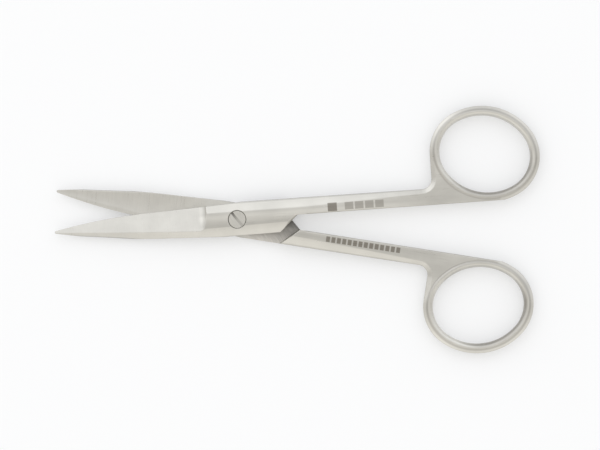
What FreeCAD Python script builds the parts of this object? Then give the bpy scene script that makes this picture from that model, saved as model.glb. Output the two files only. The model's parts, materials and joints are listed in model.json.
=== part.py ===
import FreeCAD, Part
import math
import os
import Sketcher

# Surgical scissors with a screwed lap joint, modelled open as they lie on a table.
# Each half is forged in one piece: blade, joint plate, shank and finger ring.
# A half is drawn closed, in its own frame: the pivot axis is Z, the tip points to -X,
# the ring lies at +X and +Y, and the lap plane is Z = 0 with the plate above it.

SIZES = {
    # whole instrument
    "closed_length": 130.0,
    "blade_length": 48.6,
    "joint_thickness": 4.2,
    "ring_thickness": 3.0,
    "web_thickness": 2.6,
    "open_angle": 13.0,
    "lap_gap": 0.04,
    "closing_gap": 0.12,
    "edge_break": 0.25,
    # blade seen from above
    "tip_half_width": 0.36,
    "tip_bulge": 0.3,
    "edge_bend_from_pivot": 24.6,
    "edge_bend_width": 3.3,
    "edge_root_from_pivot": 7.5,
    "edge_root_width": 4.0,
    "spine_bend_from_pivot": 21.0,
    "spine_bend_width": 3.65,
    "spine_root_from_pivot": 3.9,
    "spine_root_width": 4.4,
    # blade section
    "blade_slope": 12.3,
    "blade_edge_root": 0.45,
    "blade_edge_tip": 0.35,
    "grind_end_from_pivot": 10.1,
    "grind_runout_radius": 2.6,
    "hollow_depth": 0.15,
    "hollow_end_from_pivot": 12.0,
    "edge_land": 0.35,
    "spine_edge_root": 1.0,
    "spine_bevel_root": 2.4,
    "spine_edge_tip": 0.3,
    "spine_slope_tip": 44.0,
    "hollow_tip_share": 0.5,
    # joint plate and shank
    "shank_width": 4.6,
    "shoulder_from_pivot": 1.5,
    "shank_bevel_width": 2.5,
    "shank_bevel_drop": 0.75,
    "plate_bevel_width": 2.8,
    "plate_bevel_drop": 0.7,
    "plate_corner_width": 4.2,
    "front_plate_reach": 16.1,
    "rear_plate_reach": 16.9,
    "plate_end_break": 0.5,
    "plate_end_break_angle": 45.0,
    "plate_end_angle": 41.5,
    "wall_clearance": 0.3,
    "wall_angle": 45.0,
    "wall_lean": 11.7,
    "shank_start_from_pivot": 18.5,
    # finger ring
    "hole_long": 24.2,
    "hole_wide": 20.25,
    "hole_end_ease": 0.61,
    "ring_tilt": 16.5,
    "ring_bar": 2.6,
    "ring_flat": 0.35,
    "flat_fade": 7.0,
    "ring_bevel_width": 1.15,
    "ring_bevel_drop": 0.75,
    "hole_round_width": 1.15,
    "neck_width": 4.5,
    "neck_radius": 2.7,
    "neck_run": 1.0,
    # pivot screw
    "head_diameter": 4.68,
    "head_height": 1.0,
    "head_sink": 0.14,
    "head_clearance": 0.08,
    "screw_diameter": 3.0,
    "bore_clearance": 0.05,
    "head_seat_gap": 0.03,
    "slot_width": 0.62,
    "slot_depth": 0.5,
    "slot_angle": -48.3,
    "rim_break": 0.12,
    # how far a cutting shape runs past the metal that it cuts
    "overrun": 1.0,
}

os.makedirs("parts", exist_ok=True)
doc = FreeCAD.newDocument("surgical_scissors")
sheet = doc.addObject("Spreadsheet::Sheet", "Sizes")
for row, (alias, value) in enumerate(SIZES.items(), start=1):
    sheet.set("A%d" % row, alias)
    sheet.set("B%d" % row, str(value))
    sheet.setAlias("B%d" % row, alias)
doc.recompute()


def size(alias):
    return float(getattr(sheet, alias))


def point(across, up):
    return FreeCAD.Vector(across, up, 0)


# Sketches

def origin_plane(body, role):
    for feature in body.Origin.OriginFeatures:
        if feature.Role == role:
            return feature
    raise ValueError("no plane " + role)


def new_sketch(body, name, role, lift="0", turn=0.0):
    """A sketch on an origin plane, lifted along its normal and turned about its own X."""
    sketch = body.newObject("Sketcher::SketchObject", name)
    sketch.AttachmentSupport = (origin_plane(body, role), "")
    sketch.MapMode = "FlatFace"
    rotation = FreeCAD.Rotation(FreeCAD.Vector(1, 0, 0), turn)
    sketch.AttachmentOffset = FreeCAD.Placement(FreeCAD.Vector(), rotation)
    sketch.setExpression(".AttachmentOffset.Base.z", lift)
    return sketch


def polygon(sketch, corners):
    """A closed outline of straight edges; every corner follows the sheet."""
    first = sketch.GeometryCount
    count = len(corners)
    for index in range(count):
        turn = 2 * math.pi / count
        start = point(math.cos(index * turn), math.sin(index * turn))
        end = point(math.cos((index + 1) * turn), math.sin((index + 1) * turn))
        sketch.addGeometry(Part.LineSegment(start, end), False)
    for index in range(count):
        after = first + (index + 1) % count
        sketch.addConstraint(Sketcher.Constraint("Coincident", first + index, 2, after, 1))
    for index, corner in enumerate(corners):
        for kind, expression in zip(("DistanceX", "DistanceY"), corner):
            pin = Sketcher.Constraint(kind, -1, 1, first + index, 1, 1.0)
            number = sketch.addConstraint(pin)
            sketch.setExpression("Constraints[%d]" % number, expression)


def circle(sketch, diameter):
    """A circle on the pivot axis."""
    sketch.addGeometry(Part.Circle(point(0, 0), FreeCAD.Vector(0, 0, 1), 1.0), False)
    sketch.addConstraint(Sketcher.Constraint("Coincident", 0, 3, -1, 1))
    number = sketch.addConstraint(Sketcher.Constraint("Diameter", 0, 2.0))
    sketch.setExpression("Constraints[%d]" % number, diameter)


def curves(sketch, pieces):
    """An outline of lines and arcs that meet end to end, held where they are drawn."""
    for index, piece in enumerate(pieces):
        sketch.addGeometry(piece, False)
        sketch.addConstraint(Sketcher.Constraint("Block", index))


def line(start, end):
    return Part.LineSegment(start, end)


def arc(centre, radius, from_angle, to_angle):
    """An arc that runs anticlockwise between two angles in degrees."""
    whole = Part.Circle(centre, FreeCAD.Vector(0, 0, 1), radius)
    return Part.ArcOfCircle(whole, math.radians(from_angle), math.radians(to_angle))


def on_circle(centre, radius, angle):
    turn = math.radians(angle)
    return centre + point(radius * math.cos(turn), radius * math.sin(turn))


def tangent_arc(start, heading, end):
    """The arc that leaves start along heading and passes through end."""
    heading = FreeCAD.Vector(heading).normalize()
    side = point(-heading.y, heading.x)
    chord = end - start
    radius = chord.Length ** 2 / (2 * chord.dot(side))
    centre = start + side * radius
    middle = start + chord * 0.5 - centre
    middle = centre + middle.normalize() * abs(radius)
    return Part.Arc(start, middle, end)


# Features

def settle(body, feature):
    """Make the feature the body's result, and stop with its own message if it failed."""
    body.Tip = feature
    doc.recompute()
    if "Invalid" in feature.State:
        raise RuntimeError("%s: %s" % (feature.Name, feature.getStatusString()))
    return feature


def pocket(body, sketch, name, both_ways=False, depth=None, lean=None):
    """A pocket to a depth, or through everything on one or both sides, whose walls may lean."""
    before = body.Tip.Shape.Volume
    feature = body.newObject("PartDesign::Pocket", name)
    feature.Profile = sketch
    if depth is None:
        feature.Type = "ThroughAll"
    else:
        feature.setExpression("Length", depth)
    if lean:
        feature.setExpression("TaperAngle", lean)
    if both_ways:
        feature.SideType = "Symmetric"
    settle(body, feature)
    if not feature.Shape.Volume < before:
        print(name, "cuts nothing")
    return feature


def loft(body, kind, name, sketches):
    feature = body.newObject("PartDesign::" + kind, name)
    feature.Profile = sketches[0]
    feature.Sections = sketches[1:]
    feature.Ruled = True
    return settle(body, feature)


def edges_where(shape, wanted):
    numbered = enumerate(shape.Edges, start=1)
    return ["Edge%d" % number for number, edge in numbered if wanted(edge)]


def bevel(body, base, name, wanted, width, drop=None):
    """A chamfer on the edges that wanted picks, width across the flat and drop down the wall."""
    feature = body.newObject("PartDesign::Chamfer", name)
    feature.Base = (base, edges_where(base.Shape, wanted))
    feature.setExpression("Size", width)
    if drop:
        feature.ChamferType = "Two distances"
        feature.FlipDirection = True
        feature.setExpression("Size2", drop)
    return settle(body, feature)


# Finger ring: an oval of four arcs, with a neck that joins it to the shank

def ring_shape():
    """Arc centres and radii of the oval finger hole, in a dictionary."""
    half_long = size("hole_long") / 2
    half_wide = size("hole_wide") / 2
    ease = size("hole_end_ease")
    bar = size("ring_bar")
    longer = half_long - half_wide
    end_radius = half_wide - longer * ease
    side_radius = half_long + longer / (2 * ease)
    spread = half_long - end_radius
    tilt = math.radians(-size("ring_tilt"))
    along = point(math.cos(tilt), math.sin(tilt))
    across = point(-math.sin(tilt), math.cos(tilt))
    back = size("closed_length") - size("blade_length")
    centre_x = back - bar - end_radius - spread * along.x
    rise = side_radius + bar - (side_radius - half_wide) * across.y
    centre_y = size("closing_gap") - size("ring_flat") + rise
    centre = point(centre_x, centre_y)
    return {
        "tilt": -size("ring_tilt"),
        "side_half_angle": math.degrees(math.atan(2 * ease * (1 + ease) / (1 + 2 * ease))),
        "end_radius": end_radius,
        "side_radius": side_radius,
        "rear_end": centre + along * spread,
        "front_end": centre - along * spread,
        "far_side": centre - across * (side_radius - half_wide),
        "near_side": centre + across * (side_radius - half_wide),
    }


def neck_start(ring):
    """Where the shank ends and the neck of the ring begins."""
    leftmost = ring["front_end"].x - ring["end_radius"] - size("ring_bar")
    return leftmost - size("neck_radius") - size("neck_run")


def ring_centre_line(ring):
    """The edge of the finger hole as one closed line that starts at its leftmost point."""
    tilt = ring["tilt"]
    side = ring["side_half_angle"]
    end = 90 - side
    radius = ring["end_radius"]
    return [
        arc(ring["front_end"], radius, 180, tilt + 180 + end),
        arc(ring["near_side"], ring["side_radius"], tilt + 270 - side, tilt + 270 + side),
        arc(ring["rear_end"], radius, tilt - end, tilt + end),
        arc(ring["far_side"], ring["side_radius"], tilt + 90 - side, tilt + 90 + side),
        arc(ring["front_end"], radius, tilt + 180 - end, 180),
    ]


def neck_outline(ring):
    """The flat web between the shank and the ring, which ends on the crown of the ring."""
    tilt = ring["tilt"]
    side = ring["side_half_angle"]
    end = 90 - side
    bar = size("ring_bar")
    crown = (bar + size("hole_round_width") - size("ring_bevel_width")) / 2
    inner_line = size("closing_gap")
    outer_side = ring["side_radius"] + bar
    flat_angle = -90 + math.degrees(math.acos(1 - size("ring_flat") / outer_side))
    start_x = neck_start(ring)
    leftmost = ring["front_end"] - point(ring["end_radius"] + bar, 0)
    crown_start = ring["front_end"] - point(ring["end_radius"] + crown, 0)
    crown_radius = ring["side_radius"] + crown
    crown_angle = flat_angle + size("flat_fade")
    crown_end = on_circle(ring["near_side"], crown_radius, crown_angle)
    neck = size("neck_radius")
    neck_centre = point(leftmost.x - neck, size("neck_width") + neck)
    shank_inner = point(start_x, inner_line)
    shank_outer = point(start_x, size("neck_width"))
    flat_end = on_circle(ring["near_side"], outer_side, flat_angle)
    return [
        line(shank_inner, shank_outer),
        line(shank_outer, neck_centre - point(0, neck)),
        arc(neck_centre, neck, -90, 0),
        line(neck_centre + point(neck, 0), leftmost),
        line(leftmost, crown_start),
        arc(ring["front_end"], ring["end_radius"] + crown, 180, tilt + 180 + end),
        arc(ring["near_side"], crown_radius, tilt + 270 - side - 360, crown_angle),
        line(crown_end, flat_end),
        line(flat_end, shank_inner),
    ]


def add_neck(body, ring):
    """The web, bevelled along its outer side and where it fades into the ring."""
    outline = new_sketch(body, "NeckOutline", "XY_Plane")
    pieces = neck_outline(ring)
    curves(outline, pieces)
    pad = body.newObject("PartDesign::Pad", "NeckPad")
    pad.Profile = outline
    pad.SideType = "Symmetric"
    pad.setExpression("Length", "Sizes.web_thickness")
    settle(body, pad)
    face = size("web_thickness") / 2
    near = 1e-3

    def runs_along(edge, piece):
        box = edge.BoundBox
        on_face = box.ZLength < near and abs(abs(box.Center.z) - face) < near
        middle = piece.value((piece.FirstParameter + piece.LastParameter) / 2)
        middle.z = box.Center.z
        return on_face and edge.distToShape(Part.Vertex(middle))[0] < near

    def outer_side(edge):
        return any(runs_along(edge, piece) for piece in pieces[1:4] + pieces[7:8])

    def inner_side(edge):
        return runs_along(edge, pieces[8])

    bevelled = bevel(body, pad, "NeckBevel", outer_side,
                     "Sizes.ring_bevel_width", "Sizes.ring_bevel_drop")
    return bevel(body, bevelled, "NeckBreak", inner_side, "Sizes.edge_break")


def ring_section(hole):
    """A bar with a bevelled outer side, and a bead round the hole that stands above the web."""
    outside = hole - size("ring_bar")
    side_height = size("web_thickness") / 2 - size("ring_bevel_drop")
    round_width = size("hole_round_width")
    crown = hole - round_width
    ridge = outside + size("ring_bevel_width")
    past_crown = math.asin((crown - ridge) / round_width)
    ridge_height = size("ring_thickness") / 2 * math.cos(past_crown)
    middle = point(crown, 0)
    top = point(crown, size("ring_thickness") / 2)
    whole = Part.Ellipse(top, middle - point(round_width, 0), middle)
    return [
        line(point(outside, -side_height), point(outside, side_height)),
        line(point(outside, side_height), point(ridge, ridge_height)),
        Part.ArcOfEllipse(whole, math.pi - past_crown, 2 * math.pi + past_crown),
        line(point(ridge, -ridge_height), point(outside, -side_height)),
    ]


def add_ring(body, ring):
    """The ring: its section carried round the oval finger hole."""
    path = new_sketch(body, "RingPath", "XY_Plane")
    curves(path, ring_centre_line(ring))
    section = new_sketch(body, "RingSection", "XZ_Plane", str(-ring["front_end"].y))
    curves(section, ring_section(ring["front_end"].x - ring["end_radius"]))
    sweep = body.newObject("PartDesign::AdditivePipe", "RingSweep")
    sweep.Profile = section
    sweep.Spine = (path, ["Edge%d" % number for number in range(1, 6)])
    settle(body, sweep)
    below = new_sketch(body, "RingFlat", "XY_Plane")
    low = "Sizes.closing_gap"
    depth = "Sizes.closing_gap - 2 * Sizes.ring_bar"
    far_x = "Sizes.closed_length"
    polygon(below, [("0", low), ("0", depth), (far_x, depth), (far_x, low)])
    return pocket(body, below, "RingFlatCut", both_ways=True)


# Shank: a loft of two bevelled sections

def shank_section(body, name, lift, thickness, width, bevel_width, bevel_drop):
    """Half of the section above the lap plane and its mirror image below it."""
    inner = "Sizes.closing_gap"
    face = thickness + " / 2"
    upper = [
        (inner, face + " - Sizes.edge_break"),
        (inner + " + Sizes.edge_break", face),
        (width + " - " + bevel_width, face),
        (width, face + " - " + bevel_drop),
    ]
    lower = [(across, "-(" + up + ")") for across, up in reversed(upper)]
    sketch = new_sketch(body, name, "YZ_Plane", lift)
    polygon(sketch, upper + lower)
    return sketch


def add_shank(body, ring):
    front = shank_section(body, "ShankFront", "Sizes.shank_start_from_pivot",
                          "Sizes.joint_thickness", "Sizes.shank_width",
                          "Sizes.shank_bevel_width", "Sizes.shank_bevel_drop")
    rear = shank_section(body, "ShankRear", str(neck_start(ring)),
                         "Sizes.web_thickness", "Sizes.neck_width",
                         "Sizes.ring_bevel_width", "Sizes.ring_bevel_drop")
    return loft(body, "AdditiveLoft", "Shank", [front, rear])


# Blade and joint plate

def blade_outline(plate_reach):
    tip_x = -size("blade_length")
    tip_half = size("tip_half_width")
    corner_x = tip_x + size("tip_bulge")
    edge_tip = point(corner_x, tip_half)
    spine_tip = point(corner_x, -tip_half)
    edge_bend = point(-size("edge_bend_from_pivot"), size("edge_bend_width"))
    edge_root = point(-size("edge_root_from_pivot"), size("edge_root_width"))
    spine_bend = point(-size("spine_bend_from_pivot"), -size("spine_bend_width"))
    spine_root = point(-size("spine_root_from_pivot"), -size("spine_root_width"))
    shoulder = point(size("shoulder_from_pivot"), size("shank_width"))
    start_x = size("shank_start_from_pivot")
    plate_end, plate_corner = plate_end_line(plate_reach)
    return [
        Part.Arc(spine_tip, point(tip_x, 0), edge_tip),
        tangent_arc(edge_bend, edge_bend - edge_root, edge_tip),
        line(edge_bend, edge_root),
        line(edge_root, shoulder),
        line(shoulder, point(start_x, shoulder.y)),
        line(point(start_x, shoulder.y), point(start_x, plate_end.y)),
        line(point(start_x, plate_end.y), plate_end),
        line(plate_end, plate_corner),
        line(plate_corner, spine_root),
        line(spine_root, spine_bend),
        tangent_arc(spine_bend, spine_bend - spine_root, spine_tip),
    ]


def plate_end_line(plate_reach):
    """Both ends of the slanted end of the plate, from the shank's inner line outwards."""
    plate_end = point(size(plate_reach), size("closing_gap"))
    fall = plate_end.y + size("plate_corner_width")
    run = fall / math.tan(math.radians(size("plate_end_angle")))
    return plate_end, plate_end - point(run, fall)


def add_plate(body, plate_reach):
    outline = new_sketch(body, "BladeOutline", "XY_Plane")
    curves(outline, blade_outline(plate_reach))
    pad = body.newObject("PartDesign::Pad", "PlatePad")
    pad.Profile = outline
    pad.SideType = "Symmetric"
    pad.setExpression("Length", "Sizes.joint_thickness")
    return settle(body, pad)


def break_plate_end(body, plate_reach):
    """The broken upper edge of the plate's slanted end."""
    plate_end, plate_corner = plate_end_line(plate_reach)
    inward = point(-size("plate_end_break") / math.sin(math.radians(size("plate_end_angle"))), 0)
    outward = point(size("overrun"), 0)
    corners = [plate_end + inward, plate_corner + inward, plate_corner + outward,
               plate_end + outward]
    sketch = new_sketch(body, "PlateEndEdge", "XY_Plane", "Sizes.joint_thickness / 2")
    polygon(sketch, [(str(corner.x), str(corner.y)) for corner in corners])
    return pocket(body, sketch, "PlateEndBreak", depth="Sizes.plate_end_break",
                  lean="-Sizes.plate_end_break_angle")


def cut_outer_bevels(body):
    """The shank's bevel carried on along the joint plate, above and below."""
    sketch = new_sketch(body, "OuterBevels", "YZ_Plane", "Sizes.shank_start_from_pivot")
    ridge = "Sizes.shank_width - Sizes.shank_bevel_width"
    beyond = "Sizes.shank_width + Sizes.shank_bevel_width"
    face = "Sizes.joint_thickness / 2"
    low = face + " - 2 * Sizes.shank_bevel_drop"
    above = face + " + Sizes.overrun"
    polygon(sketch, [(ridge, face), (beyond, low), (beyond, above), (ridge, above)])
    polygon(sketch, [(ridge, "-" + face), (beyond, "-(" + low + ")"),
                     (beyond, "-(" + above + ")"), (ridge, "-(" + above + ")")])
    return pocket(body, sketch, "OuterBevelCut")


def cut_lap(body, plate_reach, other_reach):
    """The plate is halved, and a recess with a leaning end wall takes the other half's plate."""
    far = "-Sizes.blade_length - Sizes.overrun"
    side = "2 * Sizes.shank_width"
    inner = "Sizes.closing_gap"
    past_end = "Sizes." + plate_reach + " + Sizes.overrun"
    halving = new_sketch(body, "PlateUnderside", "XY_Plane", "Sizes.lap_gap / 2")
    polygon(halving, [(far, "-" + side), (past_end, "-" + side), (past_end, inner), (far, inner)])
    pocket(body, halving, "PlateHalving", depth="Sizes.joint_thickness")
    foot = "Sizes." + other_reach + " + Sizes.wall_clearance"
    top = foot + " - (" + side + " - " + inner + ") / tan(Sizes.wall_angle)"
    recess = new_sketch(body, "LapRecess", "XY_Plane", "Sizes.lap_gap / 2")
    polygon(recess, [(far, "-" + side), (foot, "-" + side), (foot, inner), (top, side), (far, side)])
    return pocket(body, recess, "LapCut", depth="Sizes.joint_thickness", lean="Sizes.wall_lean")


def grind_blade(body):
    """The ground outer face of the blade, which runs out in an arc before the joint."""
    slope = math.radians(size("blade_slope"))
    root_height = (size("edge_root_width") * math.sin(slope)
                   + size("blade_edge_root") * math.cos(slope))
    tip_height = size("tip_half_width") * math.sin(slope) + size("blade_edge_tip") * math.cos(slope)
    grind_end = -size("grind_end_from_pivot")
    tip_x = -size("blade_length")
    fall = (root_height - tip_height) / (grind_end - tip_x)
    overrun = size("overrun")
    beyond = tip_x - overrun
    far = point(beyond, tip_height - fall * overrun)
    near = point(grind_end, root_height)
    radius = size("grind_runout_radius")
    lean = math.degrees(math.atan(fall))
    centre = on_circle(near, radius, 90 + lean)
    rise = on_circle(centre, radius, 0)
    clear = size("joint_thickness") + size("shank_width")
    sketch = new_sketch(body, "BladeFace", "XZ_Plane", turn=-size("blade_slope"))
    curves(sketch, [
        line(far, near),
        arc(centre, radius, -90 + lean, 0),
        line(rise, point(rise.x, clear)),
        line(point(rise.x, clear), point(beyond, clear)),
        line(point(beyond, clear), far),
    ])
    return pocket(body, sketch, "BladeGrind", both_ways=True)


def cut_spine_bevel(body):
    """One bevel along the back of the blade, which widens into the edge of the joint plate."""
    face = "Sizes.joint_thickness / 2"
    above = face + " + Sizes.overrun"
    plate_out = "-2 * Sizes.spine_root_width"
    plate_run = "Sizes.plate_bevel_drop / Sizes.plate_bevel_width"
    plate_ridge = "-(Sizes.plate_corner_width - Sizes.plate_bevel_width)"
    plate_low = (face + " - (2 * Sizes.spine_root_width - Sizes.plate_corner_width"
                 + " + Sizes.plate_bevel_width) * " + plate_run)
    joint = new_sketch(body, "PlateBevelEnd", "YZ_Plane", "Sizes.shank_start_from_pivot")
    polygon(joint, [(plate_ridge, face), (plate_ridge, above), (plate_out, above),
                    (plate_out, plate_low)])
    root_ridge = "-(Sizes.spine_root_width - Sizes.spine_bevel_root)"
    root_run = "(" + face + " - Sizes.spine_edge_root) / Sizes.spine_bevel_root"
    root_low = (face + " - (Sizes.spine_root_width + Sizes.spine_bevel_root) * " + root_run)
    root = new_sketch(body, "PlateBevelRoot", "YZ_Plane", "-Sizes.grind_end_from_pivot")
    polygon(root, [(root_ridge, face), (root_ridge, above), (plate_out, above),
                   (plate_out, root_low)])
    past_tip = "-Sizes.blade_length - Sizes.overrun"
    tip_run = "tan(Sizes.spine_slope_tip)"
    tip_ridge = "(" + face + " - Sizes.spine_edge_tip) / " + tip_run + " - Sizes.tip_half_width"
    tip_low = ("Sizes.spine_edge_tip - (2 * Sizes.spine_root_width - Sizes.tip_half_width) * "
               + tip_run)
    tip = new_sketch(body, "PlateBevelTip", "YZ_Plane", past_tip)
    polygon(tip, [(tip_ridge, face), (tip_ridge, above), (plate_out, above), (plate_out, tip_low)])
    return loft(body, "SubtractiveLoft", "SpineBevel", [joint, root, tip])


def hollow_section(body, name, lift, low, high, depth):
    """A shallow arc that hollows the inner face between the spine and the cutting edge."""
    face = size("lap_gap") / 2
    start = point(low, face)
    end = point(high, face)
    crown = point((low + high) / 2, face + depth)
    below = face - depth
    sketch = new_sketch(body, name, "YZ_Plane", lift)
    curves(sketch, [
        Part.Arc(start, crown, end),
        line(end, point(high, below)),
        line(point(high, below), point(low, below)),
        line(point(low, below), start),
    ])
    return sketch


def hollow_grind(body):
    land = size("edge_land")
    depth = size("hollow_depth")
    root = hollow_section(body, "HollowRoot", "-Sizes.hollow_end_from_pivot",
                          -size("spine_root_width"), size("edge_root_width") - land, depth)
    tip_half = size("tip_half_width")
    share = tip_half / size("edge_root_width")
    tip = hollow_section(body, "HollowTip", "-Sizes.blade_length - Sizes.overrun",
                         -tip_half, tip_half * size("hollow_tip_share"), depth * share)
    return loft(body, "SubtractiveLoft", "HollowGrind", [root, tip])


def make_half(name, plate_reach, other_reach):
    body = doc.addObject("PartDesign::Body", name)
    body.Label = name
    ring = ring_shape()
    add_neck(body, ring)
    add_ring(body, ring)
    add_shank(body, ring)
    add_plate(body, plate_reach)
    break_plate_end(body, plate_reach)
    cut_outer_bevels(body)
    cut_spine_bevel(body)
    grind_blade(body)
    cut_lap(body, plate_reach, other_reach)
    hollow_grind(body)
    return body


# Pivot hole and screw

def bore_front(body):
    """A running bore with a counterbore that takes the screw's head."""
    bore = new_sketch(body, "Bore", "XY_Plane")
    circle(bore, "Sizes.screw_diameter + 2 * Sizes.bore_clearance")
    pocket(body, bore, "BoreCut", both_ways=True)
    seat = new_sketch(body, "HeadSeat", "XY_Plane", "Sizes.joint_thickness / 2")
    circle(seat, "Sizes.head_diameter + 2 * Sizes.head_clearance")
    depth = "Sizes.head_sink + Sizes.head_height + Sizes.head_seat_gap"
    return pocket(body, seat, "HeadSeatCut", depth=depth)


def bore_rear(body):
    """The threaded hole, drawn at the screw's own diameter."""
    bore = new_sketch(body, "Bore", "XY_Plane")
    circle(bore, "Sizes.screw_diameter")
    return pocket(body, bore, "BoreCut", both_ways=True)


def make_screw():
    body = doc.addObject("PartDesign::Body", "pivot_screw")
    body.Label = "pivot_screw"
    profile = new_sketch(body, "ScrewProfile", "XZ_Plane")
    top = "Sizes.joint_thickness / 2 - Sizes.head_sink"
    seat = top + " - Sizes.head_height"
    end = "-Sizes.joint_thickness / 2"
    radius = "Sizes.screw_diameter / 2"
    rim = "Sizes.head_diameter / 2"
    rim_break = "Sizes.rim_break"
    polygon(profile, [
        ("0", end),
        (radius + " - " + rim_break, end),
        (radius, end + " + " + rim_break),
        (radius, seat),
        (rim, seat),
        (rim, top + " - " + rim_break),
        (rim + " - " + rim_break, top),
        ("0", top),
    ])
    turned = body.newObject("PartDesign::Revolution", "Turned")
    turned.Profile = profile
    turned.ReferenceAxis = (profile, ["V_Axis"])
    turned.Angle = 360
    settle(body, turned)
    slot = new_sketch(body, "Slot", "XY_Plane", top)
    half_width = "Sizes.slot_width / 2"
    half_length = "Sizes.head_diameter"
    polygon(slot, [("-" + half_length, "-" + half_width), (half_length, "-" + half_width),
                   (half_length, half_width), ("-" + half_length, half_width)])
    pocket(body, slot, "SlotCut", depth="Sizes.slot_depth")
    return body


def place(body, turn):
    body.Placement = FreeCAD.Placement(FreeCAD.Vector(), turn)
    body.setExpression(".Placement.Base.z", "Sizes.joint_thickness / 2")


front = make_half("front_half", "front_plate_reach", "rear_plate_reach")
bore_front(front)
rear = make_half("rear_half", "rear_plate_reach", "front_plate_reach")
bore_rear(rear)
screw = make_screw()

upright = FreeCAD.Vector(0, 0, 1)
half_opening = size("open_angle") / 2
turned_over = FreeCAD.Rotation(FreeCAD.Vector(1, 0, 0), 180)
place(front, FreeCAD.Rotation(upright, half_opening))
place(rear, FreeCAD.Rotation(upright, -half_opening).multiply(turned_over))
place(screw, FreeCAD.Rotation(upright, size("slot_angle")))
doc.recompute()

for item in doc.Objects:
    if "Invalid" in item.State or "Error" in item.State:
        raise RuntimeError("%s failed: %s" % (item.Name, item.State))
for piece in (front, rear, screw):
    if piece.Shape.isNull() or not piece.Shape.isValid():
        raise RuntimeError(piece.Label + " has no valid shape")
    if len(piece.Shape.Solids) != 1:
        raise RuntimeError("%s has %d solids" % (piece.Label, len(piece.Shape.Solids)))
    piece.Shape.exportStep("parts/%s.step" % piece.Label)
    box = piece.Shape.BoundBox
    print(piece.Label, round(piece.Shape.Volume, 3), "mm3",
          [round(number, 2) for number in (box.XMin, box.XMax, box.YMin, box.YMax, box.ZMin, box.ZMax)])
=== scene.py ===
import json
import math

import bpy
from mathutils import Euler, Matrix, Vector


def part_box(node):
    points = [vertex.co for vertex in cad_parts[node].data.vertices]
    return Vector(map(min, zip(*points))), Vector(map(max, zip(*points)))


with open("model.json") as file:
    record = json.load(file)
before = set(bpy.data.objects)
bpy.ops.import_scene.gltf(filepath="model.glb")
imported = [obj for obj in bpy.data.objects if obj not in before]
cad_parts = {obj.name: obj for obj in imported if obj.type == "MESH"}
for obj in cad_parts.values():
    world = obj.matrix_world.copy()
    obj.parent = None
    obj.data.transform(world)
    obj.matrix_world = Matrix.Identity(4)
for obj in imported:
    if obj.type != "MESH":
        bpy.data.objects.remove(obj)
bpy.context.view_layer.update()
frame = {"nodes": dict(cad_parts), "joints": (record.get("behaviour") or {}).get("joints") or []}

# Units: sizes in metres, angles in radians, colours in linear light
MM = 0.001

# The photo and the camera that matches it, whose sensor is given in millimetres
IMAGE_WIDTH_PX = 600
IMAGE_HEIGHT_PX = 450
PIVOT_PX = (237.3, 219.4)
METRES_PER_PX = 0.26585 * MM
PHOTO_ROLL = math.radians(2.4)
CAMERA_DISTANCE = 0.70
SENSOR_WIDTH_MM = 36.0
NEAREST_SEEN = 0.01

# Sizes that the frame gives
OPEN_ANGLE = math.radians(-frame["joints"][0]["range_deg"][0])
JOINT_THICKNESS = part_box("front_half")[1].z
SCREW_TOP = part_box("pivot_screw")[1].z

# Finger hole of one half, along that half from the pivot and across it
RING_ALONG = 66.83 * MM
RING_ACROSS = 12.64 * MM
RING_TILT = math.radians(16.5)
HOLE_HALF_LONG = 12.1 * MM
HOLE_HALF_WIDE = 10.125 * MM

# Steel: its colours, its grain and how rough it is
STEEL_LIGHT = (0.66, 0.645, 0.600, 1)
STEEL_DARK = (0.57, 0.557, 0.518, 1)
STEEL_ROUGHNESS = (0.27, 0.37)
GRAIN_RANGE = (0.3, 0.7)
GRAIN_SHARE = 0.3
LONG_GRAIN = (9 * MM, 0.22 * MM, 0.6 * MM)
CROSS_GRAIN = (0.2 * MM, 7 * MM, 0.6 * MM)
CROSS_GRAIN_TURN = math.radians(4)
CLOUDS = (7 * MM, 5 * MM, 5 * MM)
NOISE_DETAIL = 3.0
NOISE_ROUGHNESS = 0.55
RELIEF_STRENGTH = 0.15
RELIEF_DEPTH = 0.02 * MM
EDGE_RADIUS = 0.3 * MM
EDGE_SAMPLES = 6

# Where one finish, or one band of painted light and shade, goes over into the next, from the pivot
# along a half
CROSS_GRAIN_STARTS = (-8.0 * MM, -9.5 * MM)
PAINTED_LIGHT_ENDS_AT_BLADE = (-9.5 * MM, -10.5 * MM)
RING_PAINTED_LIGHT_STARTS = (42 * MM, 54 * MM)

# Painted light and shade: lightness by place across a half in millimetres, on joint and shank, and
# on the ring
PAINTED_LIGHT_ACROSS = [(-4.6, 0.80), (-4.35, 0.84), (-4.1, 1.02), (-3.0, 1.0), (-1.9, 0.92),
                 (-1.3, 0.88), (-0.5, 0.98), (0.2, 1.08), (0.9, 1.13), (1.4, 1.04), (1.7, 0.98),
                 (2.6, 1.0), (4.1, 0.98), (4.25, 0.82), (4.6, 0.80)]
RING_PAINTED_LIGHT_ACROSS = [(-9.0, 1.08), (-5.0, 0.92), (-0.3, 0.98), (0.3, 0.92), (4.5, 0.98),
                      (9.0, 1.04)]

# The joint and shanks are polished very slightly round about a line along them
CROWN_ACROSS = 0.3 * MM
CROWN_RADIUS = 30 * MM
CROWN_MOST = 0.07
CROWN_ENDS = (30 * MM, 48 * MM)

# Milled recess behind the pivot: its tint, its lightness across a half in millimetres, which is
# painted shade, its marks
RECESS_TINT = (1.0, 0.965, 0.90)
RECESS_SHADE_ACROSS = [(-4.4, 0.60), (-3.9, 0.55), (-2.9, 0.46), (-2.1, 0.37), (-1.2, 0.31),
                 (-0.3, 0.30), (0.3, 0.22), (1.3, 0.16)]
RECESS_ROUGHNESS = 0.5
RECESS_STARTS = (2.5 * MM, 4.0 * MM)
RECESS_FROM_LAP = 0.06 * MM
MILL_MARKS = (3 * MM, 0.2 * MM, 1 * MM)
MILL_MARKS_TURN = math.radians(-45)
MILL_MARKS_LIGHT = (0.85, 1.15)
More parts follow.
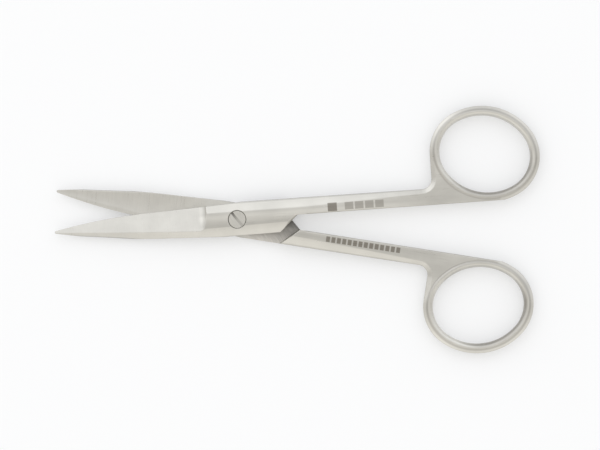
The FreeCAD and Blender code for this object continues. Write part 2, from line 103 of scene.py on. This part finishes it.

# Painted shade on the finger's side of a ring, which deepens towards one side of the hole
INSIDE_SHADE = (0.38, 0.365, 0.335, 1)
INSIDE_SHADE_WAY = math.radians(-54)
INSIDE_SHADE_APART = math.radians(12)
INSIDE_SHADE_DEEPENS = (2 * MM, 8 * MM)
INSIDE_SHADE_STRENGTH = (0.1, 1)
INSIDE_SHADE_REACH = (0.4 * MM, 1.2 * MM)
INSIDE_SHADE_FADES = (1, 0.5)

# Painted shade: a thin dark line on a ring, round the bead where it meets the bevel
GROOVE_SHADE = (0.40, 0.385, 0.355, 1)
GROOVE_FROM_HOLE = 1.6 * MM
GROOVE_HALF_WIDTH = 0.1 * MM
GROOVE_SOFTNESS = 0.35 * MM
GROOVE_SHADE_STRENGTH = 0.75

# Marks etched on the shanks: centres and half sizes, along a half and across it
ETCHED = (0.24, 0.22, 0.19, 1)
ETCH_STRENGTH = 0.9
ETCH_LOWEST = (2.9 * MM, 3.0 * MM)
MARK_SOFTNESS = 0.05 * MM
SQUARE_CENTRE = (25.4 * MM, 1.5 * MM)
SQUARE_HALF_SIZE = (1.2 * MM, 1.1 * MM)
BLOCKS_CENTRE = (33.9 * MM, 1.55 * MM)
BLOCKS_HALF_SIZE = (5.4 * MM, 0.95 * MM)
BLOCKS_PITCH = 2.7 * MM
BLOCKS_GAP = (0.2 * MM, 0.25 * MM)
BLOCKS_STRENGTH = 0.6
ROW_CENTRE = (34.0 * MM, -1.47 * MM)
ROW_HALF_SIZE = (10.1 * MM, 0.7 * MM)
ROW_PITCH = 1.45 * MM
ROW_GAP = (0.18 * MM, 0.24 * MM)

# Screw: its grain runs with the slot, which has painted shade, darkest at its upper left end
SCREW_GRAIN = (2 * MM, 0.15 * MM, 0.5 * MM)
SCREW_EDGE_RADIUS = 0.12 * MM
SLOT_ANGLE = math.radians(-48.3)
SLOT_SHADE = (0.20, 0.192, 0.178, 1)
SLOT_SHADE_BELOW_TOP = (0.03 * MM, 0.15 * MM)
SLOT_SHADE_ALONG = (-2.0 * MM, 0.0 * MM)
SLOT_SHADE_STRENGTH = (1.0, 0.2)

# Floor of pale paper; FLOOR_LIFT is how far what the camera sees of it goes towards FLOOR_SEEN
FLOOR_SIZE = 4.0
FLOOR_BELOW = 0.02 * MM
FLOOR_PAPER = (0.935, 0.94, 0.948, 1)
FLOOR_ROUGHNESS = 0.9
FLOOR_SEEN = (0.975, 0.98, 0.988, 1)
FLOOR_LIFT = 0.36

# Softbox at the upper left of the image: where it is by right, up and height, and its power in watts
SOFTBOX_WAY = (-0.5, 0.6, 0.6)
SOFTBOX_DISTANCE = 1.3
SOFTBOX_SIZE = 1.2
SOFTBOX_POWER = 0.9

# Brightness of the studio's walls by how far a direction leans towards the top of the image,
# from -1 at the bottom to 1 at the top, and by how far it leans to the right
LEAN_UP = [(-1.0, 0.92), (-0.85, 1.13), (-0.5, 1.04), (-0.3, 0.96), (-0.1, 0.66), (0.0, 0.74),
           (0.12, 0.98), (0.42, 1.10), (0.6, 1.17), (0.8, 1.3), (0.92, 1.0), (1.0, 0.75)]
LEAN_RIGHT = [(-1.0, 1.0), (-0.4, 1.1), (0.0, 1.0), (1.0, 0.95)]
WARM_LIGHT = (1.0, 0.985, 0.955, 1)
COOL_LIGHT = (0.99, 1.0, 1.02, 1)
WARM_TO_COOL = (0.0, 0.3)


def shader_material(name):
    """A new node material and its Principled shader."""
    material = bpy.data.materials.new(name)
    material.use_nodes = True
    return material, material.node_tree.nodes["Principled BSDF"]


class Graph:
    """Short calls for the node tree of one material or world."""

    def __init__(self, owner):
        self.nodes = owner.node_tree.nodes
        self.links = owner.node_tree.links

    def node(self, kind, **settings):
        made = self.nodes.new(kind)
        for key, value in settings.items():
            setattr(made, key, value)
        return made

    def feed(self, socket, value):
        """Links a socket to another one, or sets it to a plain value."""
        if isinstance(value, bpy.types.NodeSocket):
            self.links.new(value, socket)
        else:
            socket.default_value = value

    def math(self, operation, first, second=0.0, third=0.0):
        made = self.node("ShaderNodeMath", operation=operation)
        for socket, value in zip(made.inputs, (first, second, third)):
            self.feed(socket, value)
        return made.outputs[0]

    def vector_node(self, operation, first, second=(0, 0, 0)):
        made = self.node("ShaderNodeVectorMath", operation=operation)
        self.feed(made.inputs[0], first)
        self.feed(made.inputs[1], second)
        return made

    def vector_to_number(self, operation, first, second=(0, 0, 0)):
        return self.vector_node(operation, first, second).outputs["Value"]

    def vector_to_vector(self, operation, first, second=(0, 0, 0)):
        return self.vector_node(operation, first, second).outputs["Vector"]

    def scaled(self, vector, factor):
        made = self.node("ShaderNodeVectorMath", operation="SCALE")
        self.feed(made.inputs[0], vector)
        self.feed(made.inputs["Scale"], factor)
        return made.outputs["Vector"]

    def stretch(self, vector, turn, scale, centre=(0, 0, 0)):
        """A place as seen from a centre, turned about Z and measured in units of scale."""
        made = self.node("ShaderNodeMapping", vector_type="TEXTURE")
        self.feed(made.inputs["Vector"], vector)
        made.inputs["Location"].default_value = centre
        made.inputs["Rotation"].default_value = (0, 0, turn)
        made.inputs["Scale"].default_value = scale
        return made.outputs["Vector"]

    def noise(self, vector):
        made = self.node("ShaderNodeTexNoise")
        self.feed(made.inputs["Vector"], vector)
        made.inputs["Scale"].default_value = 1.0
        made.inputs["Detail"].default_value = NOISE_DETAIL
        made.inputs["Roughness"].default_value = NOISE_ROUGHNESS
        return made.outputs["Fac"]

    def ramp(self, value, span, levels=(0, 1)):
        """Goes from the first level to the last as a value crosses a span, and stays there."""
        made = self.node("ShaderNodeMapRange")
        self.feed(made.inputs["Value"], value)
        made.inputs["From Min"].default_value = span[0]
        made.inputs["From Max"].default_value = span[1]
        made.inputs["To Min"].default_value = levels[0]
        made.inputs["To Max"].default_value = levels[1]
        return made.outputs["Result"]

    def curve(self, value, levels):
        """The level that belongs to a value, from a list of (value, level) in rising order."""
        first = levels[0][0]
        last = levels[-1][0]
        highest = max(level for place, level in levels)
        made = self.node("ShaderNodeValToRGB")
        self.feed(made.inputs["Fac"], self.ramp(value, (first, last)))
        stops = made.color_ramp.elements
        while len(stops) < len(levels):
            stops.new(0.5)
        for stop, (place, level) in zip(stops, levels):
            stop.position = (place - first) / (last - first)
            stop.color = [level / highest] * 3 + [1]
        return self.math("MULTIPLY", made.outputs["Color"], highest)

    def blend(self, factor, first, second, kind="FLOAT"):
        """Between two numbers, or between two colours if the kind is RGBA."""
        made = self.node("ShaderNodeMix", data_type=kind)
        self.feed(made.inputs["Factor"], factor)
        self.feed(made.inputs["A"], first)
        self.feed(made.inputs["B"], second)
        return made.outputs["Result"]

    def tint(self, factor, first, second):
        return self.blend(factor, first, second, "RGBA")

    def rounded_edges(self, radius):
        """The normal with edges rounded by a radius."""
        bevel = self.node("ShaderNodeBevel", samples=EDGE_SAMPLES)
        bevel.inputs["Radius"].default_value = radius
        return bevel.outputs["Normal"]

    def relief(self, height, normal):
        """Fine relief on top of a normal."""
        bump = self.node("ShaderNodeBump")
        bump.inputs["Strength"].default_value = RELIEF_STRENGTH
        bump.inputs["Distance"].default_value = RELIEF_DEPTH
        self.feed(bump.inputs["Height"], height)
        self.feed(bump.inputs["Normal"], normal)
        return bump.outputs["Normal"]


class HalfFrame:
    """Places on a half or the screw: along it from the pivot, across it, and up from the table."""

    def __init__(self, graph, turn):
        self.graph = graph
        self.turn = turn
        self.place = graph.node("ShaderNodeTexCoord").outputs["Object"]
        parts = graph.node("ShaderNodeSeparateXYZ")
        graph.feed(parts.inputs["Vector"], graph.stretch(self.place, turn, (1.0, 1.0, 1.0)))
        self.along = parts.outputs["X"]
        self.across = parts.outputs["Y"]
        self.height = parts.outputs["Z"]

    def grain(self, turn, scale):
        """Noise stretched along, across and up by a scale, turned from the half's length."""
        return self.graph.noise(self.graph.stretch(self.place, self.turn + turn, scale))

    def within(self, value, centre, half_size, softness=MARK_SOFTNESS):
        """1 where a value lies within half_size of its centre."""
        apart = self.graph.math("ABSOLUTE", self.graph.math("SUBTRACT", value, centre))
        return self.graph.ramp(apart, (half_size, half_size + softness), (1, 0))

    def block(self, centre, half_size):
        """1 inside a rectangle, given along the half and across it."""
        return self.graph.math("MULTIPLY", self.within(self.along, centre[0], half_size[0]),
                               self.within(self.across, centre[1], half_size[1]))

    def row_of_blocks(self, centre, half_size, pitch, gap):
        """A rectangle cut into blocks by gaps at a pitch, with the first gap at its near end."""
        from_end = self.graph.math("SUBTRACT", self.along, centre[0] - half_size[0])
        from_gap = self.graph.math("PINGPONG", from_end, pitch / 2)
        return self.graph.math("MULTIPLY", self.graph.ramp(from_gap, gap),
                               self.block(centre, half_size))


def front_marks(graph, half):
    """A plain square and four plain blocks, in place of words."""
    blocks = half.row_of_blocks(BLOCKS_CENTRE, BLOCKS_HALF_SIZE, BLOCKS_PITCH, BLOCKS_GAP)
    return graph.math("MAXIMUM", half.block(SQUARE_CENTRE, SQUARE_HALF_SIZE),
                      graph.math("MULTIPLY", blocks, BLOCKS_STRENGTH))


def rear_marks(graph, half):
    """A row of small plain blocks, in place of words."""
    return half.row_of_blocks(ROW_CENTRE, ROW_HALF_SIZE, ROW_PITCH, ROW_GAP)


def etched(graph, half, metal, marks):
    """The metal with one half's marks on the top of its shank."""
    on_top = graph.ramp(half.height, ETCH_LOWEST)
    marked = graph.math("MULTIPLY", marks(graph, half), on_top)
    return graph.tint(graph.math("MULTIPLY", marked, ETCH_STRENGTH), metal, ETCHED)


def painted_light(graph, half):
    """Painted light and shade: how much lighter or darker a place across the joint, shank and ring
    is made.
    """
    across = graph.math("DIVIDE", half.across, MM)
    joint = graph.curve(across, PAINTED_LIGHT_ACROSS)
    ring = graph.curve(across, RING_PAINTED_LIGHT_ACROSS)
    past_blade = graph.blend(graph.ramp(half.along, RING_PAINTED_LIGHT_STARTS), joint, ring)
    return graph.blend(graph.ramp(half.along, PAINTED_LIGHT_ENDS_AT_BLADE), past_blade, 1.0)


def shaded_ring(graph, half, side, metal):
    """The metal with the two painted shades of a finger ring.

    The finger's side of the ring has painted shade, darker towards the lower right of the image,
    and a thin line of painted shade is dark where the bead round the hole meets the bevel."""
    centre = Vector((RING_ALONG, side * RING_ACROSS, 0))
    centre.rotate(Euler((0, 0, half.turn)))
    long_way = half.turn - side * RING_TILT
    hole_size = (HOLE_HALF_LONG, HOLE_HALF_WIDE, 1)
    hole_radii = graph.vector_to_number(
        "LENGTH", graph.stretch(half.place, long_way, hole_size, centre))
    flattened = (1, 1, 1000)
    place = graph.stretch(half.place, 0, flattened, centre)
    from_centre = graph.vector_to_number("LENGTH", place)
    hole_edge = graph.math("DIVIDE", from_centre, hole_radii)
    from_hole = graph.math("SUBTRACT", from_centre, hole_edge)

    way = INSIDE_SHADE_WAY - side * INSIDE_SHADE_APART
    shaded_way = (math.cos(way), math.sin(way), 0)
    towards_shade = graph.vector_to_number("DOT_PRODUCT", place, shaded_way)
    strength = graph.ramp(towards_shade, INSIDE_SHADE_DEEPENS, INSIDE_SHADE_STRENGTH)
    reach = graph.ramp(towards_shade, INSIDE_SHADE_DEEPENS, INSIDE_SHADE_REACH)
    inside = graph.ramp(graph.math("DIVIDE", from_hole, reach), INSIDE_SHADE_FADES)
    # Painted shade on the finger's side of the ring
    metal = graph.tint(graph.math("MULTIPLY", inside, strength), metal, INSIDE_SHADE)

    # Painted shade in a thin line round the bead
    groove_shade = half.within(from_hole, GROOVE_FROM_HOLE, GROOVE_HALF_WIDTH, GROOVE_SOFTNESS)
    return graph.tint(graph.math("MULTIPLY", groove_shade, GROOVE_SHADE_STRENGTH), metal, GROOVE_SHADE)


def recess_colour_and_shade(graph, half):
    """Milled steel with its mill marks, and painted shade of the recess that is darker towards the
    top of the image.
    """
    mill_marks = half.grain(MILL_MARKS_TURN, MILL_MARKS)
    # Painted shade of the recess, darker towards the top of the image
    light = graph.curve(graph.math("DIVIDE", half.across, MM), RECESS_SHADE_ACROSS)
    marked = graph.ramp(mill_marks, GRAIN_RANGE, MILL_MARKS_LIGHT)
    return graph.scaled(RECESS_TINT, graph.math("MULTIPLY", light, marked))


def in_recess(graph, half):
    """1 on the lap plane behind the pivot."""
    near_lap = half.within(half.height, JOINT_THICKNESS / 2, RECESS_FROM_LAP)
    return graph.math("MULTIPLY", near_lap, graph.ramp(half.along, RECESS_STARTS))


def crowned(graph, half, on_blade, normal):
    """A normal that leans to the sides as on a top polished slightly round."""
    lean = graph.math("DIVIDE", graph.math("SUBTRACT", half.across, CROWN_ACROSS), CROWN_RADIUS)
    lean = graph.math("MINIMUM", graph.math("MAXIMUM", lean, -CROWN_MOST), CROWN_MOST)
    lean = graph.math("MULTIPLY", lean, graph.math("SUBTRACT", 1.0, on_blade))
    lean = graph.math("MULTIPLY", lean, graph.ramp(half.along, CROWN_ENDS, (1, 0)))
    sideways = graph.scaled((-math.sin(half.turn), math.cos(half.turn), 0), lean)
    return graph.vector_to_vector("NORMALIZE", graph.vector_to_vector("ADD", normal, sideways))


def satin_steel(name, turn, side, marks):
    """Satin stainless steel: cross grain on the blade, long grain on the shank, a dark milled recess
    with painted shade.
    """
    material, shader = shader_material(name)
    graph = Graph(material)
    half = HalfFrame(graph, turn)
    on_blade = graph.ramp(half.along, CROSS_GRAIN_STARTS)
    grain = graph.blend(on_blade, half.grain(0, LONG_GRAIN),
                        half.grain(CROSS_GRAIN_TURN, CROSS_GRAIN))
    clouds = graph.math("MULTIPLY", half.grain(0, CLOUDS), 1.0 - GRAIN_SHARE)
    shade = graph.math("MULTIPLY_ADD", grain, GRAIN_SHARE, clouds)
    metal = graph.tint(graph.ramp(shade, GRAIN_RANGE), STEEL_DARK, STEEL_LIGHT)
    # Painted light and shade across the joint, shank and ring
    metal = graph.scaled(metal, painted_light(graph, half))
    metal = shaded_ring(graph, half, side, metal)
    metal = etched(graph, half, metal, marks)

    recess = in_recess(graph, half)
    roughness = graph.ramp(grain, GRAIN_RANGE, STEEL_ROUGHNESS)
    normal = crowned(graph, half, on_blade, graph.rounded_edges(EDGE_RADIUS))
    graph.feed(shader.inputs["Base Color"], graph.tint(recess, metal, recess_colour_and_shade(graph, half)))
    graph.feed(shader.inputs["Roughness"], graph.blend(recess, roughness, RECESS_ROUGHNESS))
    graph.feed(shader.inputs["Normal"], graph.relief(grain, normal))
    shader.inputs["Metallic"].default_value = 1.0
    return material


def screw_steel(name, turn):
    """Satin steel with a fine grain along the slot, and painted shade in the slot."""
    material, shader = shader_material(name)
    graph = Graph(material)
    head = HalfFrame(graph, turn)
    grain = head.grain(0, SCREW_GRAIN)
    metal = graph.tint(graph.ramp(grain, GRAIN_RANGE), STEEL_DARK, STEEL_LIGHT)
    # Painted shade in the slot, darkest at its upper left end
    below_top = graph.math("SUBTRACT", SCREW_TOP, head.height)
    in_slot = graph.ramp(below_top, SLOT_SHADE_BELOW_TOP)
    strength = graph.ramp(head.along, SLOT_SHADE_ALONG, SLOT_SHADE_STRENGTH)
    shade = graph.math("MULTIPLY", in_slot, strength)
    graph.feed(shader.inputs["Base Color"], graph.tint(shade, metal, SLOT_SHADE))
    graph.feed(shader.inputs["Roughness"], graph.ramp(grain, GRAIN_RANGE, STEEL_ROUGHNESS))
    edges = graph.rounded_edges(SCREW_EDGE_RADIUS)
    graph.feed(shader.inputs["Normal"], graph.relief(grain, edges))
    shader.inputs["Metallic"].default_value = 1.0
    return material


def use(node, material):
    """Gives a CAD node its one material."""
    mesh = frame["nodes"][node].data
    mesh.materials.clear()
    mesh.materials.append(material)


image_right = Vector((math.cos(PHOTO_ROLL), math.sin(PHOTO_ROLL), 0))
image_up = Vector((-math.sin(PHOTO_ROLL), math.cos(PHOTO_ROLL), 0))


def add_camera():
    """Looks straight down, rolled and centred as in the photo."""
    across = (IMAGE_WIDTH_PX / 2 - PIVOT_PX[0]) * METRES_PER_PX
    down = (IMAGE_HEIGHT_PX / 2 - PIVOT_PX[1]) * METRES_PER_PX
    target = image_right * across - image_up * down + Vector((0, 0, JOINT_THICKNESS / 2))
    data = bpy.data.cameras.new("camera")
    data.sensor_width = SENSOR_WIDTH_MM
    data.lens = SENSOR_WIDTH_MM * CAMERA_DISTANCE / (IMAGE_WIDTH_PX * METRES_PER_PX)
    data.clip_start = NEAREST_SEEN
    camera = bpy.data.objects.new("camera", data)
    camera.location = target + Vector((0, 0, CAMERA_DISTANCE))
    camera.rotation_euler = (0, 0, PHOTO_ROLL)
    bpy.context.scene.collection.objects.link(camera)
    bpy.context.scene.camera = camera


def add_floor():
    """Pale paper that keeps a light shadow; what the camera sees of it is lifted towards white."""
    bpy.ops.mesh.primitive_plane_add(size=FLOOR_SIZE, location=(0, 0, -FLOOR_BELOW))
    floor = bpy.context.object
    floor.name = "floor"
    material, shader = shader_material("floor_paper")
    shader.inputs["Base Color"].default_value = FLOOR_PAPER
    shader.inputs["Roughness"].default_value = FLOOR_ROUGHNESS
    shader.inputs["Specular IOR Level"].default_value = 0.0
    graph = Graph(material)
    lift = graph.node("ShaderNodeEmission")
    lift.inputs["Color"].default_value = FLOOR_SEEN
    rays = graph.node("ShaderNodeLightPath")
    seen = graph.math("MAXIMUM", rays.outputs["Is Camera Ray"], rays.outputs["Is Glossy Ray"])
    blend = graph.node("ShaderNodeMixShader")
    graph.feed(blend.inputs["Fac"], graph.math("MULTIPLY", seen, FLOOR_LIFT))
    graph.feed(blend.inputs[1], shader.outputs["BSDF"])
    graph.feed(blend.inputs[2], lift.outputs["Emission"])
    graph.feed(graph.nodes["Material Output"].inputs["Surface"], blend.outputs["Shader"])
    floor.data.materials.append(material)


def add_softbox():
    """A soft square lamp that faces the pivot."""
    data = bpy.data.lights.new("softbox", "AREA")
    data.shape = "RECTANGLE"
    data.size = SOFTBOX_SIZE
    data.size_y = SOFTBOX_SIZE
    data.energy = SOFTBOX_POWER
    lamp = bpy.data.objects.new("softbox", data)
    rightwards, upwards, height = SOFTBOX_WAY
    way = image_right * rightwards + image_up * upwards + Vector((0, 0, height))
    way.normalize()
    lamp.location = way * SOFTBOX_DISTANCE
    lamp.rotation_euler = way.to_track_quat("Z", "Y").to_euler()
    bpy.context.scene.collection.objects.link(lamp)


def add_world():
    """A pale studio whose walls differ in brightness, warm below and cool above."""
    world = bpy.data.worlds.new("studio")
    world.use_nodes = True
    graph = Graph(world)
    direction = graph.node("ShaderNodeTexCoord").outputs["Generated"]
    lean_up = graph.vector_to_number("DOT_PRODUCT", direction, image_up)
    lean_right = graph.vector_to_number("DOT_PRODUCT", direction, image_right)
    background = graph.nodes["Background"]
    colour = graph.tint(graph.ramp(lean_up, WARM_TO_COOL), WARM_LIGHT, COOL_LIGHT)
    strength = graph.math("MULTIPLY", graph.curve(lean_up, LEAN_UP),
                          graph.curve(lean_right, LEAN_RIGHT))
    graph.feed(background.inputs["Color"], colour)
    graph.feed(background.inputs["Strength"], strength)
    bpy.context.scene.world = world


use("front_half", satin_steel("front_steel", OPEN_ANGLE / 2, 1, front_marks))
use("rear_half", satin_steel("rear_steel", -OPEN_ANGLE / 2, -1, rear_marks))
use("pivot_screw", screw_steel("screw_steel", SLOT_ANGLE))

add_camera()
add_floor()
add_world()
add_softbox()

bpy.context.scene.view_settings.view_transform = "Standard"
